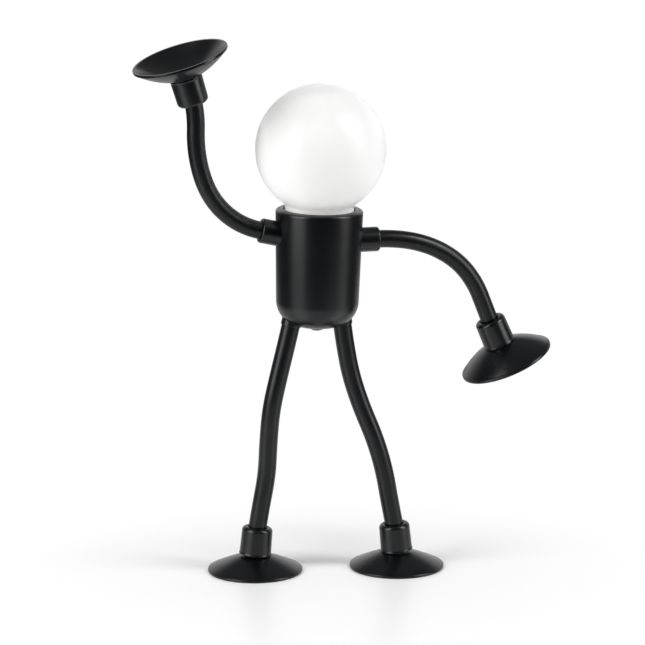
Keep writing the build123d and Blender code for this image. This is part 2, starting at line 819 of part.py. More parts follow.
def show_places(limbs):
    """Print the joints' places and axes, the cups' mouths and the body's axes."""
    top = world_point(Vector(0, 0, 0))
    show("body up", top, world_point(Vector(0, 0, 1)) - top)
    show("body back", world_point(Vector(0, usb_mouth, usb_level())), Vector(0, 1, 0))
    for limb in limbs:
        show(f"{limb.name} swivel", limb.point(0), limb.outward(0))
        for index, bend in enumerate(limb.bends):
            heading = limb.route.at(bend)[1]
            across = limb.outward(heading).cross(limb.outward(heading + 90))
            axis = across if limb.is_arm else limb.outward(heading + 90)
            show(f"{limb.name} bend{index}", limb.point(bend), axis)
        show(f"{limb.name} top", limb.top, limb.hub_way)
        show(f"{limb.name} mouth", cup_mouth(limb), limb.cup_way)


centre_frame()
limbs = make_limbs()
body = body_frame()
save("body_shell", body * make_body_shell(limbs))
save("globe_ring", body * make_globe_ring())
save("globe", body * make_globe())
save("led_carrier", body * make_led_carrier())
save("led_board", body * make_led_board())
save("leds", body * make_leds())
save("screws", body * make_screws())
save("main_board", body * make_main_board())
save("usb_socket", body * make_usb_socket())
save("battery", body * make_battery())
save("power_switch", body * make_power_switch())
save("switch_button", body * make_switch_button())
for limb in limbs:
    save_limb(limb)
show_places(limbs)
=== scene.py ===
import json
from math import asin, cos, pi, radians, sin, sqrt, tan

import bmesh
import bpy
from bpy.props import FloatProperty, FloatVectorProperty, IntProperty, PointerProperty
from mathutils import Matrix, Vector


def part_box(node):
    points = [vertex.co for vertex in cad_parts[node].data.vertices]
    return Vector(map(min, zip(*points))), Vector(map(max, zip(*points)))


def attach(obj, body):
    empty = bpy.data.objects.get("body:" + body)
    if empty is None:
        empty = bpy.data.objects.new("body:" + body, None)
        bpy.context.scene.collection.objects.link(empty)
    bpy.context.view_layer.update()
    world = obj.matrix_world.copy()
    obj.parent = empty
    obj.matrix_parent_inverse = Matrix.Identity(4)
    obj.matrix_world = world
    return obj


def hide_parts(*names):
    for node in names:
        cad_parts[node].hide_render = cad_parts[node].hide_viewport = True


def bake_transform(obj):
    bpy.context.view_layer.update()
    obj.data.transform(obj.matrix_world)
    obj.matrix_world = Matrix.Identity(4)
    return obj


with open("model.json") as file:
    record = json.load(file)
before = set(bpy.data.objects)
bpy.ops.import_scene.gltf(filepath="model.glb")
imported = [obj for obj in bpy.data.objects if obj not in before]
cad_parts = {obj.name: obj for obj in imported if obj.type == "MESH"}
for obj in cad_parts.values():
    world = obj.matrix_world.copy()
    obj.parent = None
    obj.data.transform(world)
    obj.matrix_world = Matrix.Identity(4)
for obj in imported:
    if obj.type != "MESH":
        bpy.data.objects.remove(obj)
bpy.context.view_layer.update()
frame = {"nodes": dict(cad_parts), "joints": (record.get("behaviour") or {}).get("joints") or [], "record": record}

bl_info = {
    "name": "Suction cup desk lamp",
    "version": (1, 0, 0),
    "blender": (4, 5, 0),
    "location": "View3D > Sidebar > Lamp",
    "description": "Opal globe on a black cup-shaped body with bendable arms and legs on suction cups",
    "category": "Object",
}

MM = 0.001
JOINTS = {joint["name"]: joint for joint in frame["joints"]}
MOUNTS = {mount["name"]: mount for mount in frame["record"]["mounts"]}

# Each limb: its kind, and how many degrees each sixth of its bent length turns
LIMBS = {
    "left_arm": ("arm", (19.7, 18.6, 17.8, 11.1, 10.1, -12.0)),
    "right_arm": ("arm", (9.1, 12.0, 14.3, 17.6, 14.6, 0.8)),
    "left_leg": ("leg", (1.3, -1.5, -12.1, -3.2, 12.2, -2.6)),
    "right_leg": ("leg", (-2.9, -8.1, -5.0, 6.7, 6.8, -1.6)),
}
JOINT_WORDS = {"arm": ("shoulder", "elbow", "wrist"), "leg": ("hip", "knee", "ankle")}
SPAN_WORDS = {"arm": ("upper", "fore", "hand"), "leg": ("thigh", "shin", "foot")}
# Lean from upright of the hubs whose cups are pressed to the floor
HUB_WAYS = {"left_leg": radians(5.5), "right_leg": radians(-5.9)}

# Turned pieces: faces round a wide one and a small one, and the angle above which an edge stays sharp
WIDE_SIDES, SMALL_SIDES = 192, 96
CREASE = radians(34)
# Closer to the axis than this is on it, and closer to each other than the second is one point
ON_AXIS, WELD = MM / 1000, MM / 100

# Search along a limb: shares of its bent length to step by, where the search for the hub starts, and tries
BEND_STEP, ENTRY_STEP, ENTRY_START, TRIES = 1 / 400, 1 / 2000, 0.9, 440
# Sleeves: play at the bottom of a seat, room between two bends, and the last bend's reach over the first's
SEAT_PLAY, SEAM_ROOM, LAST_SHARE = MM / 2, 2 * MM, 1.1
# How far the tool for the inlet's slot goes past the inlet
INLET_REACH = 8 * MM

# Camera: its side of the lamp's front, and the directions behind and beside the lamp as it sees them
CAMERA_SIDE = radians(-15)
BEHIND = (-sin(CAMERA_SIDE), cos(CAMERA_SIDE), 0)
BESIDE = (cos(CAMERA_SIDE), sin(CAMERA_SIDE), 0)
CAMERA_AWAY, CAMERA_HEIGHT, CAMERA_ANGLE, CAMERA_END = 2.019, 0.6, radians(10.987), 100
AIM_BESIDE, AIM_HEIGHT = 3.4996 * MM, 157.74 * MM

# Each light: degrees round the lamp from its front, distance, height and size in metres
LIGHTS = {
    "key": (-71, 1.0, 0.50, (0.70, 0.90)),
    "fill": (58, 1.0, 0.50, (0.50, 0.90)),
    "high_key": (-75, 1.0, 1.15, (0.40, 0.35)),
    "high_fill": (58, 1.0, 1.15, (0.40, 0.35)),
    "top": (180, 0.3, 1.8, (2.0, 2.0)),
}
LIGHT_AIM = Vector((0, 0, 0.17))

# Floor: its radius, the middle of the part that isn't faded to white, and where the paper starts and stops
# to give way to the dark floor at the sides and in front
FLOOR_RADIUS, FADE_AHEAD = 14, 60 * MM
PAPER_FULL, PAPER_END = 0.35, 0.6
PAPER_FIBRE, PAPER_RELIEF, PAPER_POLISH = 2 * MM, 0.05 * MM, 0.35
# World: how far round to the back the backdrop starts and is full, and how high the ceiling does
WALL_START, WALL_FULL, CEILING_START, CEILING_FULL = 0.2, 0.9, 0.38, 0.6
# Size of the patches in which the polish of a surface varies
POLISH_PATCH = 22 * MM


# Settings


def length(name, description, millimetres):
    """A size that the sidebar shows as a length."""
    return FloatProperty(
        name=name, description=description, default=millimetres * MM, min=0, unit="LENGTH", precision=5
    )


def angle(name, description, degrees):
    """A slope that the sidebar shows as an angle."""
    return FloatProperty(name=name, description=description, default=radians(degrees), unit="ROTATION")


def brightness(name, description, default):
    """A brightness, which can't be negative."""
    return FloatProperty(name=name, description=description, default=default, min=0)


def share(name, description, default):
    """A share between none and all."""
    return FloatProperty(name=name, description=description, default=default, min=0, max=1, subtype="FACTOR")


def linear(code):
    """Linear colour of an sRGB hex code."""
    values = [int(code[i : i + 2], 16) / 255 for i in (1, 3, 5)]
    return [v / 12.92 if v <= 0.04045 else ((v + 0.055) / 1.055) ** 2.4 for v in values]


def colour(name, description, code):
    """A colour that the sidebar shows as a swatch."""
    return FloatVectorProperty(
        name=name, description=description, default=linear(code), min=0, max=1, subtype="COLOR"
    )


class GlobeSettings(bpy.types.PropertyGroup):
    """Sizes and colour of the globe"""

    radius: length("Radius", "Outside of the globe", 40.0)
    wall: length("Wall", "Thickness of the opal wall", 2.0)
    rise: length("Rise", "Height of the globe's middle over the body's rim", 37.478)
    neck: length("Neck radius", "Outside of the neck", 21.2)
    neck_wall: length("Neck wall", "Thickness of the neck", 1.9)
    neck_depth: length("Neck depth", "How far the neck goes below the rim", 4.6)
    neck_fillet: length("Neck fillet", "Round between the globe and its neck", 3.5)
    tint: colour("Opal", "Colour of the opal plastic", "#FAF9F7")


class BodySettings(bpy.types.PropertyGroup):
    """Sizes and colour of the body and the ring in its mouth"""

    height: length("Height", "From the bottom to the rim", 72.4)
    top_radius: length("Top radius", "Outside at the rim", 26.9)
    low_radius: length("Low radius", "Outside above the round bottom", 25.1)
    corner: length("Corner", "Radius of the round bottom edge", 16.0)
    wall: length("Wall", "Thickness of the moulding", 2.2)
    rim_fillet: length("Rim fillet", "Round of the rim's outer edge", 1.6)
    edge: length("Edge", "Round of the small edges", 0.25)
    mouth: length("Mouth radius", "Opening for the ring", 24.5)
    mouth_depth: length("Mouth depth", "Depth of the ring's seat", 2.6)
    throat: length("Throat radius", "Opening below the ring", 23.4)
    ring_bore: length("Ring bore", "Hole of the ring", 22.2)
    ring_drop: length("Ring drop", "How far the ring lies below the rim", 0.15)
    slope: angle("Rim slope", "Rise of the rim and the ring inwards", 12)
    gap: length("Gap", "Clearance round collars and button", 0.12)
    tint: colour("Shell", "Colour of the satin black moulding", "#040609")


class ButtonSettings(bpy.types.PropertyGroup):
    """Sizes and colour of the push button"""

    radius: length("Radius", "Outside of the button", 6.3)
    dome: length("Dome", "How far the button stands out", 3.2)
    flange: length("Flange radius", "Flange that keeps the button in", 7.6)
    flange_thick: length("Flange thickness", "Thickness of the flange", 1.1)
    tint: colour("Button", "Colour of the button", "#101113")


class LimbSettings(bpy.types.PropertyGroup):
    """Sizes and colour of the collars and sleeves"""

    arm_tube: length("Arm sleeve radius", "Outside of an arm's sleeve", 5.45)
    leg_tube: length("Leg sleeve radius", "Outside of a leg's sleeve", 5.7)
    arm_length: length("Arm length", "From the collar to the hub", 99.0)
    leg_length: length("Leg length", "Bent length below the collar", 129.397)
    arm_collar: length("Arm collar radius", "Outside of an arm's collar", 7.6)
    leg_collar: length("Leg collar radius", "Outside of a leg's collar", 6.3)
    arm_collar_length: length("Arm collar length", "From the socket to the lip", 14.7)
    leg_collar_length: length("Leg collar length", "From the socket to the lip", 5.4)
    arm_seat: length("Arm sleeve seat", "Depth of the sleeve in its collar", 8.0)
    leg_seat: length("Leg sleeve seat", "Depth of the sleeve in its collar", 3.15)
    arm_lip: length("Arm collar lip", "Round of an arm collar's end", 1.2)
    leg_lip: length("Leg collar lip", "Round of a leg collar's end", 0.45)
    step: length("Step", "Distance between the sleeve's rings of faces", 1.0)
    sides: IntProperty(name="Sides", description="Faces round a sleeve", default=56, min=8, max=128)
    tint: colour("Silicone", "Colour of the sleeves", "#05070A")


class CupSettings(bpy.types.PropertyGroup):
    """Sizes and colour of the hubs and suction cups"""

    hub_length: length("Hub length", "Length of a hub", 17.5)
    hub_base: length("Hub base radius", "Outside of a hub at the cup", 9.85)
    hub_top: length("Hub top radius", "Outside of a hub at its top", 9.5)
    hub_fillet: length("Hub fillet", "Round of a hub's top edge", 2.4)
    hub_bead: length("Hub bead", "How far the base bead stands out", 0.3)
    hub_bevel: length("Hub bevel", "Bevel of the mouth for the sleeve", 0.9)
    hub_bore: length("Hub bore", "Depth of the sleeve in the hub", 11.0)
    radius: length("Cup radius", "Outside of a suction cup", 29.5)
    height: length("Cup height", "From the mouth to the hub of a free cup", 12.5)
    pressed: length("Pressed height", "From the mouth to the hub of a cup that stands on the floor", 9.6)
    lip: length("Lip", "Height of the band round the mouth", 1.9)
    lip_round: length("Lip round", "Round of the band's upper edge", 0.8)
    lip_edge: length("Lip edge", "Round of the band's lower edge", 0.3)
    lip_width: length("Lip width", "Width of the sealing face", 1.6)
    seat: length("Seat radius", "Flat under the hub", 10.15)
    wall: length("Wall", "Thickness of the rubber", 2.0)
    disc: length("Disc radius", "Raised disc inside the cup", 9.75)
    disc_depth: length("Disc depth", "Thickness of that disc", 0.5)
    crown: angle("Crown", "Slope of the cup beside the hub", 19.3)
    tint: colour("Rubber", "Colour of the suction cups", "#06080B")


class StageSettings(bpy.types.PropertyGroup):
    """Colours and brightness of the floor, the room and the lights"""

    floor: colour("Floor", "Colour of the pale paper under the lamp", "#EAEAEA")
    front_floor: colour("Front floor", "Colour of the dark floor round the paper", "#1C1C1C")
    sheen: share("Sheen", "How much the polished paper reflects", 0.2)
    near: length("Near", "Where the paper starts to fade to white for the camera", 70.0)
    far: length("Far", "Where the paper is all white for the camera", 230.0)
    wall: brightness("Wall", "Brightness of the pale backdrop", 1.2)
    room: share("Room", "Brightness of the dark room behind the camera", 0.04)
    ceiling: share("Ceiling", "Brightness of the ceiling", 0.2)
    key: brightness("Key", "Brightness of the soft light on the left", 4.7)
    fill: brightness("Fill", "Brightness of the soft light on the right", 4.5)
    high_key: brightness("High key", "Brightness of the small light high on the left", 7.0)
    high_fill: brightness("High fill", "Brightness of the small light high on the right", 13.5)
    top: brightness("Top", "Brightness of the light overhead", 0.12)


# Mesh tools


def arc(x, z, radius, start, end, steps):
    """Points of an arc in the turning plane, from one angle to another in degrees."""
    angles = [radians(start + (end - start) * i / steps) for i in range(steps + 1)]
    return [(x + radius * cos(a), z + radius * sin(a)) for a in angles]


def rounded(corners, steps=6):
    """Outline through corners (x, z, round), with an arc at each corner that has a round."""
    points = []
    for i, (x, z, fillet) in enumerate(corners):
        if not fillet:
            points.append((x, z))
            continue
        here = Vector((x, z))
        before = (Vector(corners[i - 1][:2]) - here).normalized()
        after = (Vector(corners[(i + 1) % len(corners)][:2]) - here).normalized()
        half = before.angle(after) / 2
        middle = here + (before + after).normalized() * fillet / sin(half)
        first = here + before * fillet / tan(half) - middle
        turn = first.angle_signed(here + after * fillet / tan(half) - middle)
        count = max(steps, round(steps * abs(turn) / (pi / 2)))
        for k in range(count + 1):
            points.append(tuple(middle + Matrix.Rotation(-turn * k / count, 2) @ first))
    return points


def along(origin, direction):
    """Matrix whose Z axis runs along a direction and whose Y axis stays near the lamp's."""
    z = Vector(direction).normalized()
    y = (Vector((0, 1, 0)) - z * z.y).normalized()
    matrix = Matrix((y.cross(z), y, z)).transposed().to_4x4()
    matrix.translation = origin
    return matrix


def link(name, mesh, material):
    """New object of a mesh, with its material."""
    mesh.materials.clear()
    mesh.materials.append(material)
    piece = bpy.data.objects.new(name, mesh)
    bpy.context.scene.collection.objects.link(piece)
    return piece


def lathe(name, outline, place, material, sides):
    """Closed outline in the turning plane spun round Z, then put in its place."""
    form = bmesh.new()
    rings = []
    for x, z in outline:
        if x < ON_AXIS:
            rings.append([form.verts.new((0, 0, z))] * sides)
            continue
        turns = [2 * pi * i / sides for i in range(sides)]
        rings.append([form.verts.new((x * cos(t), x * sin(t), z)) for t in turns])
    for first, second in zip(rings, rings[1:] + rings[:1]):
        for i in range(sides):
            j = (i + 1) % sides
            corners = list(dict.fromkeys((first[i], first[j], second[j], second[i])))
            if len(corners) > 2:
                form.faces.new(corners)
    bmesh.ops.recalc_face_normals(form, faces=form.faces)
    mesh = bpy.data.meshes.new(name)
    form.to_mesh(mesh)
    form.free()
    mesh.transform(place)
    smooth(mesh)
    return link(name, mesh, material)


def smooth(mesh):
    """Smooth shading that keeps the sharp edges sharp."""
    mesh.polygons.foreach_set("use_smooth", [True] * len(mesh.polygons))
    mesh.set_sharp_from_angle(angle=CREASE)


def rod(radius, low, high, place):
    """Tool for a hole: a closed cylinder along Z of a matrix."""
    form = bmesh.new()
    turn = place @ Matrix.Translation((0, 0, (low + high) / 2))
    bmesh.ops.create_cone(
        form,
        cap_ends=True,
        segments=SMALL_SIDES,
        radius1=radius,
        radius2=radius,
        depth=high - low,
        matrix=turn,
    )
    return form


def as_tool(form, name):
    """Object of a hole's tool, there until the hole is cut."""
    mesh = bpy.data.meshes.new(name)
    form.to_mesh(mesh)
    form.free()
    tool = bpy.data.objects.new(name, mesh)
    bpy.context.scene.collection.objects.link(tool)
    return tool


def cut(piece, tools):
    """Take tools out of a piece and leave a plain mesh with fresh shading."""
    for tool in tools:
        modifier = piece.modifiers.new(tool.name, "BOOLEAN")
        modifier.operation = "DIFFERENCE"
        modifier.solver = "EXACT"
        modifier.object = tool
    settle(piece)
    smooth(piece.data)
    for tool in tools:
        bpy.data.objects.remove(tool)


def settle(piece):
    """Turn the result of a piece's modifiers into its plain mesh."""
    graph = bpy.context.evaluated_depsgraph_get()
    mesh = bpy.data.meshes.new_from_object(piece.evaluated_get(graph))
    material = piece.data.materials[0] if piece.data.materials else None
    piece.modifiers.clear()
    piece.data = mesh
    if material and not mesh.materials:
        mesh.materials.append(material)


def body_place():
    """Matrix of the body: its bottom's middle, with Z up its leaning axis."""
    up = Vector(JOINTS["button_press"]["axis"])
    rim = Vector(JOINTS["globe_twist"]["pos_m"])
    return along(rim - up * bpy.context.scene.lamp_body.height, up)


# Limb routes


class Route:
    """Centreline of a limb: a straight root, six even turns and a straight end."""

    def __init__(self, limb):
        self.limb = limb
        self.kind, turns = LIMBS[limb]
        settings = bpy.context.scene.lamp_limbs
        self.tube = getattr(settings, f"{self.kind}_tube")
        self.collar = getattr(settings, f"{self.kind}_collar")
        self.collar_length = getattr(settings, f"{self.kind}_collar_length")
        self.seat = getattr(settings, f"{self.kind}_seat")
        self.lip = getattr(settings, f"{self.kind}_lip")
        self.bent = getattr(settings, f"{self.kind}_length")
        swivel, bend = JOINTS[f"{limb}_swivel"], JOINTS[f"{limb}_{JOINT_WORDS[self.kind][0]}"]
        out = Vector(swivel["axis"]).normalized()
        if out.dot(Vector(bend["pos_m"]) - Vector(swivel["pos_m"])) < 0:
            out = -out
        axis = Vector(bend["axis"])
        side = axis.cross(out) if self.kind == "arm" else axis
        self.across = (side - out * side.dot(out)).normalized()
        self.out, self.root = out, Vector(swivel["pos_m"])
        runs = [(self.collar_length, 0)] + [(self.bent / len(turns), radians(t)) for t in turns]
        self.runs, place, heading, start = [], Vector((0, 0)), 0.0, 0.0
        for run, turn in runs + [(self.bent, 0)]:
            self.runs.append((start, run, turn, place.copy(), heading))
            place += self.chord(run, turn, heading)
            heading += turn
            start += run

    @staticmethod
    def chord(run, turn, heading):
        """Way from the start of an even turn to its end."""
        size = run * (sin(turn / 2) / (turn / 2) if turn else 1)
        return Vector((cos(heading + turn / 2), sin(heading + turn / 2))) * size

    def flat(self, reach):
        """Place and heading in the limb's plane at a length along the route."""
        for start, run, turn, place, heading in self.runs:
            if reach <= start + run:
                part = (reach - start) / run
                return place + self.chord(run * part, turn * part, heading), heading + turn * part

    def point(self, reach):
        """Place in the lamp's frame at a length along the route."""
        place, _ = self.flat(reach)
        return self.root + self.out * place.x + self.across * place.y

    def way(self, reach):
        """Direction in the lamp's frame at a length along the route."""
        _, heading = self.flat(reach)
        return self.out * cos(heading) + self.across * sin(heading)

    def knots(self, low, high):
        """Lengths where a curve between two lengths has its points."""
        inside = [start for start, *_ in self.runs if low < start < high]
        return [low] + inside + [high]

    def bend(self, index):
        """Length along the route of one of the three bends."""
        joint = JOINTS[f"{self.limb}_{JOINT_WORDS[self.kind][index]}"]
        return self.nearest(Vector(joint["pos_m"]), 0, BEND_STEP)

    def entry(self):
        """Length along the route where the hub begins."""
        top, _ = hub_place(self.limb)
        return self.nearest(top, ENTRY_START, ENTRY_STEP)

    def nearest(self, place, start, step):
        """Length along the route nearest to a place; start and step are shares of the bent length."""
        tries = [self.collar_length + self.bent * (start + i * step) for i in range(TRIES)]
        return min(tries, key=lambda reach: (self.point(reach) - place).length)


def mouth_place(limb):
    """Middle and outward direction of a suction cup's mouth."""
    mount = MOUNTS[f"{limb}_cup_lip"]
    way = Vector(mount["axis"]).normalized()
    low, high = (Vector(corner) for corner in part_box(f"{limb}_cup"))
    cups = bpy.context.scene.lamp_cups
    middle = (low + high) / 2
    ring = cups.radius - cups.lip_edge
    reach = [ring * sqrt(max(0, 1 - w**2)) + cups.lip_edge * (1 - abs(w)) for w in way]
    for i in range(3):
        if way[i] > 0:
            middle[i] = high[i] - reach[i]
        elif way[i] < 0:
            middle[i] = low[i] + reach[i]
    return middle, way


def cup_height(limb):
    """Height of a limb's cup: the feet are pressed down, the hands are free."""
    cups = bpy.context.scene.lamp_cups
    return cups.pressed if limb in HUB_WAYS else cups.height


def hub_place(limb):
    """Middle of a hub's top and the direction from the top to its base."""
    mouth, way = mouth_place(limb)
    cups, height = bpy.context.scene.lamp_cups, cup_height(limb)
    if limb in HUB_WAYS:
        lean = HUB_WAYS[limb]
        way = Vector((-sin(lean), 0, -cos(lean)))
        base = mouth + Vector((0, 0, height + cups.seat * abs(sin(lean))))
    else:
        base = mouth - way * height
    return base - way * cups.hub_length, way


# Materials


def node(tree, kind, inputs=(), **settings):
    """Add a node with its settings, and set or link its inputs."""
    new = tree.nodes.new(kind)
    for name, value in settings.items():
        setattr(new, name, value)
    for key, value in dict(inputs).items():
        if isinstance(value, bpy.types.NodeSocket):
            tree.links.new(value, new.inputs[key])
        else:
            new.inputs[key].default_value = value
    return new


def moulded(name, tint, roughness, spread, grain, depth, gloss=0.5, **sockets):
    """Moulded surface: fine mould texture of a size in millimetres, and uneven polish."""
    material = bpy.data.materials.new(name)
    material.use_nodes = True
    tree = material.node_tree
    tree.nodes.clear()
    place = node(tree, "ShaderNodeTexCoord").outputs["Object"]
    fine = node(
        tree,
        "ShaderNodeTexNoise",
        {"Vector": place, "Scale": 1 / (grain * MM), "Detail": 3.0, "Roughness": 0.6},
    )
    wide = node(tree, "ShaderNodeTexNoise", {"Vector": place, "Scale": 1 / POLISH_PATCH, "Detail": 4.0})
    polish = node(
        tree,
        "ShaderNodeMapRange",
        {"Value": wide.outputs["Fac"], 1: 0.3, 2: 0.7, 3: roughness - spread, 4: roughness + spread},
    )
    bump = node(
        tree, "ShaderNodeBump", {"Height": fine.outputs["Fac"], "Strength": 1.0, "Distance": depth * MM}
    )
    inputs = {
        "Base Color": (*tint, 1),
        "Roughness": polish.outputs[0],
        "Specular IOR Level": gloss,
        "Normal": bump.outputs["Normal"],
    }
    inputs.update({key.replace("_", " "): value for key, value in sockets.items()})
    surface = node(tree, "ShaderNodeBsdfPrincipled", inputs)
    node(tree, "ShaderNodeOutputMaterial", {"Surface": surface.outputs[0]})
    return material


def satin_shell():
    """Satin black ABS: the fine spark texture breaks highlights into a soft cool-grey glow."""
    return bpy.data.materials.get("satin_black_abs") or moulded(
        "satin_black_abs",
        bpy.context.scene.lamp_body.tint,
        roughness=0.29,
        spread=0.02,
        grain=0.35,
        depth=0.006,
        gloss=0.39,
        IOR=1.5,
    )


def silicone():
    """Extruded silicone: a little duller than the mouldings, with a powdery bloom."""
    return bpy.data.materials.get("black_silicone") or moulded(
        "black_silicone",
        bpy.context.scene.lamp_limbs.tint,
        roughness=0.33,
        spread=0.03,
        grain=0.6,
        depth=0.008,
        gloss=0.42,
        IOR=1.43,
    )


def cup_rubber():
    """Black rubber from a smooth mould: its broad dome shows a slightly tighter highlight than the hubs."""
    return bpy.data.materials.get("black_cup_rubber") or moulded(
        "black_cup_rubber",
        bpy.context.scene.lamp_cups.tint,
        roughness=0.26,
        spread=0.025,
        grain=0.5,
        depth=0.004,
        gloss=0.34,
        IOR=1.5,
    )


def button_plastic():
    """Polished black ABS: one tight highlight on the dome."""
    return bpy.data.materials.get("polished_black_abs") or moulded(
        "polished_black_abs",
        bpy.context.scene.lamp_button.tint,
        roughness=0.22,
        spread=0.02,
        grain=0.4,
        depth=0.002,
        gloss=0.4,
        IOR=1.5,
    )


def opal():
    """Opal acrylic: milky and evenly white, light spreads in its wall, and a faint painted glow over the whole
    wall lifts and evens its shading, standing for dimmed chips.
    """
    return bpy.data.materials.get("opal_acrylic") or moulded(
        "opal_acrylic",
        bpy.context.scene.lamp_globe.tint,
        roughness=0.3,
        spread=0.03,
        grain=1.2,
        depth=0.002,
        gloss=0.25,
        IOR=1.49,
        Subsurface_Weight=1.0,
        Subsurface_Radius=(1.0, 1.0, 1.0),
        Subsurface_Scale=6 * MM,
        # Painted glow: a flat emission over the whole globe that brightens and evens its shading
        Emission_Color=(1.0, 1.0, 1.0, 1.0),
        Emission_Strength=0.1,
    )


# The finishes of the pieces inside: name, colour, roughness, grain in millimetres and other sockets
INNER = {
    # Milled aluminium plate, dull and slightly streaked
    "led_carrier": ("milled_aluminium", "#C9CBCD", 0.38, 0.5, {"Metallic": 1.0}),
    # White solder mask, glossy over a flat laminate
    "led_board": ("white_solder_mask", "#ECECE6", 0.3, 0.8, {"IOR": 1.5}),
    # Phosphor gel in the light chips, yellow when unlit
    "leds": ("phosphor_gel", "#E8CF6A", 0.35, 0.4, {"IOR": 1.41}),
    # Zinc-plated steel, bright with fine turning marks
    "screws": ("zinc_plated_steel", "#C6C8C8", 0.28, 0.25, {"Metallic": 1.0}),
    # Green solder mask
    "main_board": ("green_solder_mask", "#1C5A36", 0.32, 0.8, {"IOR": 1.5}),
    # Drawn stainless sleeve of the inlet, satin
    "usb_socket": ("drawn_stainless", "#B9BABB", 0.33, 0.3, {"Metallic": 1.0}),
    # Shrink sleeve of the cell, smooth blue PVC
    "battery": ("blue_shrink_sleeve", "#27486F", 0.3, 1.5, {"IOR": 1.53}),
    # Glass-filled nylon of the push switch, matt
    "power_switch": ("glass_filled_nylon", "#1B1B1D", 0.55, 0.4, {"IOR": 1.53}),
}


# Pieces


class LAMP_OT_globe(bpy.types.Operator):
    """Make the opal globe with its neck"""

    bl_idname = "lamp.globe"
    bl_label = "Globe"

    def execute(self, context):
        globe, body = context.scene.lamp_globe, context.scene.lamp_body
        middle = body.height + globe.rise
        low = body.height - globe.neck_depth
        drop = sqrt((globe.radius + globe.neck_fillet) ** 2 - (globe.neck + globe.neck_fillet) ** 2)
        lean = asin(drop / (globe.radius + globe.neck_fillet)) * 180 / pi
        inner, bore = globe.radius - globe.wall, globe.neck - globe.neck_wall
        inner_lean = asin(sqrt(inner**2 - bore**2) / inner) * 180 / pi
        outline = [(bore, low), (globe.neck - body.edge, low)]
        outline += arc(globe.neck - body.edge, low + body.edge, body.edge, -90, 0, 4)
        fillet_middle = (globe.neck + globe.neck_fillet, middle - drop)
        outline += arc(*fillet_middle, globe.neck_fillet, 180, 180 - lean, 10)
        outline += arc(0, middle, globe.radius, -lean, 90, 96)[1:-1]
        outline += [(0, middle + globe.radius), (0, middle + inner)]
        outline += arc(0, middle, inner, 90, -inner_lean, 64)[1:]
        piece = lathe("opal_globe", outline, body_place(), opal(), WIDE_SIDES)
        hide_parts("globe")
        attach(piece, "globe")
        return {"FINISHED"}


class LAMP_OT_body(bpy.types.Operator):
    """Make the body shell with its sockets, and the ring in its mouth"""

    bl_idname = "lamp.body"
    bl_label = "Body and ring"

    def execute(self, context):
        body, button = context.scene.lamp_body, context.scene.lamp_button
        place = body_place()
        top, inside = body.height, body.low_radius - body.wall
        crest = top + (body.top_radius - body.mouth) * tan(body.slope)
        outline = rounded(
            [
                (0, 0, 0),
                (body.low_radius, 0, body.corner),
                (body.top_radius, top, body.rim_fillet),
                (body.mouth, crest, body.edge),
                (body.mouth, top - body.mouth_depth, 0),
                (body.throat, top - body.mouth_depth, 0),
                (inside, body.wall, body.corner - body.wall),
                (0, body.wall, 0),
            ],
            steps=14,
        )
        shell = lathe("body_moulding", outline, place, satin_shell(), WIDE_SIDES)
        tools = [as_tool(rod(button.radius + body.gap, -body.wall, 3 * body.wall, place), "button_hole")]
        for limb in LIMBS:
            route = Route(limb)
            socket = along(route.root, route.out)
            hole = rod(route.collar + body.gap, 0, route.collar_length + body.corner, socket)
            tools.append(as_tool(hole, f"{limb}_hole"))
        tools.append(self.inlet_hole(place))
        cut(shell, tools)
        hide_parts("body_shell")
        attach(shell, "body")
        ring = lathe("neck_ring", self.ring(body), place, satin_shell(), WIDE_SIDES)
        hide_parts("globe_ring")
        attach(ring, "body")
        return {"FINISHED"}

    @staticmethod
    def ring(body):
        """Outline of the ring that keeps the globe in."""
        low, wide = body.height - body.mouth_depth, body.mouth - body.gap / 2
        high = body.height + (body.top_radius - wide) * tan(body.slope) - body.ring_drop
        crest = high + (wide - body.ring_bore) * tan(body.slope)
        bore = body.ring_bore
        inner = [(bore, crest, 2 * body.edge), (bore, low, 0)]
        return rounded([(wide, low, 0), (wide, high, body.edge)] + inner)

    @staticmethod
    def inlet_hole(place):
        """Rounded slot for the charging inlet through the back wall."""
        low, high = (Vector(corner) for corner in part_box("usb_socket"))
        gap = 2 * bpy.context.scene.lamp_body.gap
        form = bmesh.new()
        half = (high.z - low.z) / 2 + gap
        straight = (high.x - low.x) / 2 + gap - half
        ends = arc(straight, 0, half, -90, 90, 24) + arc(-straight, 0, half, 90, 270, 24)
        middle = (low + high) / 2
        near, far = low.y + (high.y - low.y) / 2, high.y + INLET_REACH
        front = [form.verts.new((middle.x + x, near, middle.z + z)) for x, z in ends]
        back = [form.verts.new((middle.x + x, far, middle.z + z)) for x, z in ends]
        for i in range(len(ends)):
            j = (i + 1) % len(ends)
            form.faces.new((front[i], front[j], back[j], back[i]))
        form.faces.new(front)
        form.faces.new(back)
        bmesh.ops.remove_doubles(form, verts=form.verts, dist=WELD)
        bmesh.ops.recalc_face_normals(form, faces=form.faces)
        return as_tool(form, "inlet_hole")


class LAMP_OT_button(bpy.types.Operator):
    """Make the domed push button under the body"""

    bl_idname = "lamp.button"
    bl_label = "Push button"

    def execute(self, context):
        body, button = context.scene.lamp_body, context.scene.lamp_button
        ball = (button.radius**2 + button.dome**2) / (2 * button.dome)
        half = asin(button.radius / ball) * 180 / pi
        outline = arc(0, ball - button.dome, ball, -90, -90 + half, 24)[:-1]
        outline = [(0, -button.dome)] + outline[1:]
        high = body.wall + button.flange_thick
        outline += [(button.radius, 0), (button.radius, body.wall), (button.flange, body.wall)]
        outline += [(button.flange, high), (0, high)]
        piece = lathe("push_button", outline, body_place(), button_plastic(), SMALL_SIDES)
        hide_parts("switch_button")
        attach(piece, "button")
        return {"FINISHED"}


